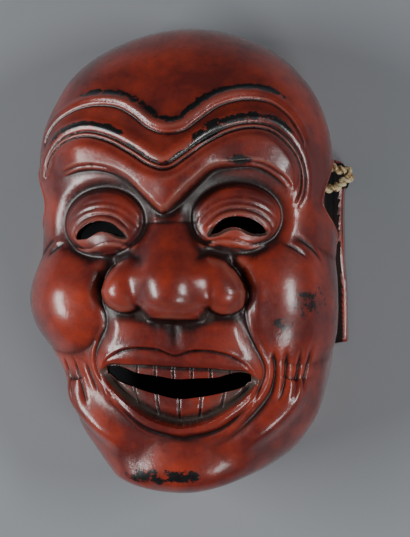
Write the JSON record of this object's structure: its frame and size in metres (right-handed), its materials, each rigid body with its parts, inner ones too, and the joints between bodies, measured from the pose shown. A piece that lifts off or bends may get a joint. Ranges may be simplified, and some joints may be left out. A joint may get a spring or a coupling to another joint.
{
  "type": "folk mask",
  "caption": "Carved and lacquered wooden mask of a bald, laughing face with pierced eyes and mouth, long ears and a cord loop, hollow behind, lying on its back rim.",
  "frame": {"origin": "on the plane of the back rim, under the middle of the mask's box", "axes": "+Z out of the face, away from the rim; +Y to the crown; +X to the wearer's own left, the viewer's right"},
  "size_m": [0.1759, 0.249, 0.1058],
  "materials": {
    "red_lacquer": "red lacquer over black on carved wood, glossy, worn through to the black in places",
    "straw_cord": "undyed twisted plant-fibre cord, matt"
  },
  "bodies": {
    "root": {"mask": "red_lacquer", "cord_loop": "straw_cord", "cord_knot": "straw_cord"}
  },
  "joints": []
}
